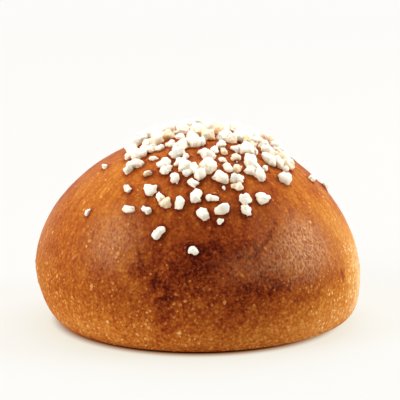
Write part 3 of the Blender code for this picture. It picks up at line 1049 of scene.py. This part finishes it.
def crust_material():
    """Browned crust: colour by how far the oven took it and by painted light and shade, gloss where the
    egg wash lies.
    """
    made, tree, shader, place = new_material("baked_crust_washed")
    height = height_of(tree, place)
    pattern = crust_patterns(tree, place)
    shift = noise(tree, place, RAGGED_SIZE, 4.0, output="Color")
    shift = vector(tree, "SUBTRACT", shift, (0.5, 0.5, 0.5))
    ragged = vector(tree, "ADD", place, scaled(tree, shift, RAGGED_REACH))
    low = between(tree, height, *LOWER_FLANK)
    creased = added(tree, *creases_at(tree, place, CREASE_SHADE_WIDTH))
    edge = calc(tree, "MULTIPLY_ADD", centred(tree, pattern["blotch"]), WASH_WANDER, WASH_EDGE)
    wash = between(tree, minus(tree, height, edge), *WASH_FADE)

    browned_and_painted = browning_with_painted_light(tree, ragged, height, low, pattern, creased)
    pale = paleness(tree, place, low, pattern, browned_and_painted)
    colour = ramp(tree, calc(tree, "MULTIPLY_ADD", pale, PALE_TONE, browned_and_painted), CRUST_COLOURS)
    colour = mixed(tree, between(tree, height, *FOOT), colour, FOOT_TINT, "MULTIPLY")
    chalky = times(tree, pale, between(tree, browned_and_painted, 0.42, 0.80, 0.38, 0.14))
    colour = mixed(tree, chalky, colour, PALE_COLOUR)

    # Where the egg wash ran together it dried to a bloom, broken up by fine wrinkles; its colour is
    # partly a painted highlight.
    pool_and_sheen = times(tree, spots(tree, ragged, WASH_POOLS_AND_SHEEN), wash)
    pattern["dried net"] = times(tree, pattern["net"], pool_and_sheen)
    bloom_and_sheen = calc(tree, "MULTIPLY_ADD", pattern["net"], BLOOM_AND_SHEEN_NET, BLOOM_AND_SHEEN_EVEN)
    bloom_and_sheen = calc(tree, "MULTIPLY_ADD", pattern["wrinkles"], BLOOM_AND_SHEEN_WRINKLES, bloom_and_sheen)
    bloom_and_sheen = calc(tree, "MULTIPLY", pool_and_sheen, bloom_and_sheen, clamp=True)
    bloom_and_sheen = times(tree, bloom_and_sheen, between(tree, creased, 0.6, 0.0, 0.55, 1.0))

    uneven = centred(tree, pattern["mottle"])
    bare, washed = (
        calc(tree, "MULTIPLY_ADD", uneven, ROUGH_CHANGE, middle) for middle in (ROUGH_BARE, ROUGH_WASHED)
    )
    thicker = between(tree, pattern["broad"], 0.45, 0.65)
    thin = times(tree, calc(tree, "MULTIPLY_ADD", thicker, COAT_THICKER, COAT_THIN), wash)
    coat = times(
        tree,
        calc(tree, "MULTIPLY_ADD", pool_and_sheen, COAT_POOL, thin),
        between(tree, pattern["mottle"], 0.25, 0.6, 0.6, 1.1),
        between(tree, creased, 0.40, 0.0, 0.20, 1.0),
    )
    relief = added(tree, *[times(tree, pattern[name], share) for name, share in BUMP_SHARES.items()])
    bump = {"Strength": 0.7, "Distance": 0.001, "Height": relief}
    bump = put(tree, "ShaderNodeBump", bump).outputs[0]
    sockets = {
        "Base Color": mixed(tree, bloom_and_sheen, colour, BLOOM_AND_SHEEN_COLOUR),
        "Roughness": blended(tree, wash, bare, washed),
        "Specular IOR Level": 0.015,
        "Coat Weight": coat,
        "Coat Roughness": 0.34,
        "Normal": bump,
        "Coat Normal": bump,
    }
    fill(tree, shader, sockets)
    return made


crust = grow("crust", crust_tree(), {"Sugar": pearl_sugar, "Material": crust_material()})
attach(crust, "root")
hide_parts("sugar_brioche")

# The stand: a plain pale floor that runs out of view, so that the bun seems to stand on light. It
# gives off a light of its own, a little more where the soft boxes no longer reach it and warmer near the
# bun as painted bounce light, and it turns dark orange-brown round the bun's foot as a painted contact
# shadow, with none under the bun.
FLOOR_REACH = 6.0
FLOOR_DROP = 0.0001
# Near the bun the glow is warm yellow, painted bounce light; far off it is even white.
FLOOR_GLOWS_WITH_NEAR_BOUNCE = ((0.810, 0.752, 0.612), (0.920, 0.900, 0.868))
GLOW_CHANGES = (0.1, 1.6)
FLOOR_COLOUR = (0.100, 0.125, 0.185)
# The outline of the bun's foot, and the glow and colour of the floor's painted contact shadow at and
# just outside it.
FOOT_OUTLINE = (0.0393, 0.0412, 1.0)
PAINTED_SHADOW_GLOW = (0.30, 0.13, 0.05)
PAINTED_SHADOW_COLOUR = (0.10, 0.03, 0.01)


def floor_material():
    """Matt white that glows, with painted warm bounce light near the bun and a painted contact shadow
    round its foot.
    """
    made, tree, shader, place = new_material("pale_floor")
    far = between(tree, vector(tree, "LENGTH", place), *GLOW_CHANGES)
    glow_and_shadow = mixed(tree, far, *FLOOR_GLOWS_WITH_NEAR_BOUNCE)
    from_foot = vector(tree, "LENGTH", vector(tree, "DIVIDE", place, FOOT_OUTLINE))
    # Painted contact shadow: the glow turns dark and warm just outside the foot, and goes out under the
    # bun.
    glow_and_shadow = mixed(tree, between(tree, from_foot, 1.02, 1.14), PAINTED_SHADOW_GLOW, glow_and_shadow)
    glow_and_shadow = mixed(tree, between(tree, from_foot, 1.0, 1.05), (0.0, 0.0, 0.0), glow_and_shadow)
    painted_foot_shadow = between(tree, from_foot, 1.0, 1.12)
    sockets = {
        "Base Color": mixed(tree, painted_foot_shadow, PAINTED_SHADOW_COLOUR, FLOOR_COLOUR),
        "Roughness": 0.9,
        "Specular IOR Level": 0.0,
        "Emission Color": glow_and_shadow,
        "Emission Strength": 1.0,
    }
    fill(tree, shader, sockets)
    return made


floor_mesh = bpy.data.meshes.new("floor")
signs = ((-1, -1), (1, -1), (1, 1), (-1, 1))
corners = [(x * FLOOR_REACH, y * FLOOR_REACH, -FLOOR_DROP) for x, y in signs]
floor_mesh.from_pydata(corners, [], [(0, 1, 2, 3)])
floor_mesh.materials.append(floor_material())
floor = bpy.data.objects.new("floor", floor_mesh)
bpy.context.scene.collection.objects.link(floor)

# The light: soft boxes at the right, at the left front and above the back, and a dim even room that
# is dimmest in front and above. Each box has a name, place, width, height and radiance.
SOFT_BOXES = (
    ("right_box", (0.90, 0.02, 0.42), 0.42, 0.56, 9.0),
    ("left_box", (-0.70, -0.40, 0.44), 0.42, 0.56, 8.0),
    ("top_box", (0.05, 0.30, 0.90), 0.90, 0.80, 4.0),
)
BOX_TARGET = (0.0, 0.0, 0.03)
ROOM_SEEN = (0.982, 0.973, 0.939, 1.0)
ROOM_FELT = (1.0, 0.99, 0.97, 1.0)
DIM_SIDE = (0.0, -0.78, 0.62)
DIM_EDGES = (0.30, 0.88)
ROOM_STRENGTHS = (0.80, 0.06)


def look_along(obj, place, target):
    """Puts an object at a place and turns it to face a point."""
    obj.location = place
    obj.rotation_euler = (Vector(target) - Vector(place)).to_track_quat("-Z", "Y").to_euler()
    bpy.context.scene.collection.objects.link(obj)


for name, place, width, height, radiance in SOFT_BOXES:
    lamp = bpy.data.lights.new(name, "AREA")
    lamp.shape = "RECTANGLE"
    lamp.size = width
    lamp.size_y = height
    lamp.energy = radiance * math.pi * width * height
    box = bpy.data.objects.new(name, lamp)
    box.visible_camera = False
    look_along(box, place, BOX_TARGET)

world = bpy.data.worlds.new("room")
world.use_nodes = True
bpy.context.scene.world = world
room = world.node_tree
seen = put(room, "ShaderNodeBackground", {"Color": ROOM_SEEN, "Strength": 1.0})
towards = put(room, "ShaderNodeTexCoord").outputs["Generated"]
ahead = vector(room, "DOT_PRODUCT", vector(room, "NORMALIZE", towards), DIM_SIDE)
strength = between(room, ahead, *DIM_EDGES, *ROOM_STRENGTHS)
felt = put(room, "ShaderNodeBackground", {"Color": ROOM_FELT, "Strength": strength})
rays = put(room, "ShaderNodeLightPath").outputs["Is Camera Ray"]
both = put(room, "ShaderNodeMixShader", {0: rays, 1: felt.outputs[0], 2: seen.outputs[0]})
room.links.new(both.outputs[0], room.nodes["World Output"].inputs["Surface"])

# The camera: level with the photograph, a little above the bun and straight at its front.
CAMERA_HEIGHT = math.radians(12.0)
CAMERA_DISTANCE = 0.55
CAMERA_AIM = (0.0, 0.0, 0.025)
FRAME_MIDDLE = (0.00098, 0.0, 0.03577)
SENSOR_WIDTH = 36.0
LENS_LENGTH = 164.2
lens = bpy.data.cameras.new("camera")
lens.sensor_width = SENSOR_WIDTH
lens.lens = LENS_LENGTH
camera = bpy.data.objects.new("camera", lens)
standpoint = (
    CAMERA_AIM[0],
    CAMERA_AIM[1] - CAMERA_DISTANCE * math.cos(CAMERA_HEIGHT),
    CAMERA_AIM[2] + CAMERA_DISTANCE * math.sin(CAMERA_HEIGHT),
)
look_along(camera, standpoint, FRAME_MIDDLE)
bpy.context.scene.camera = camera
bpy.context.scene.view_settings.view_transform = "Standard"
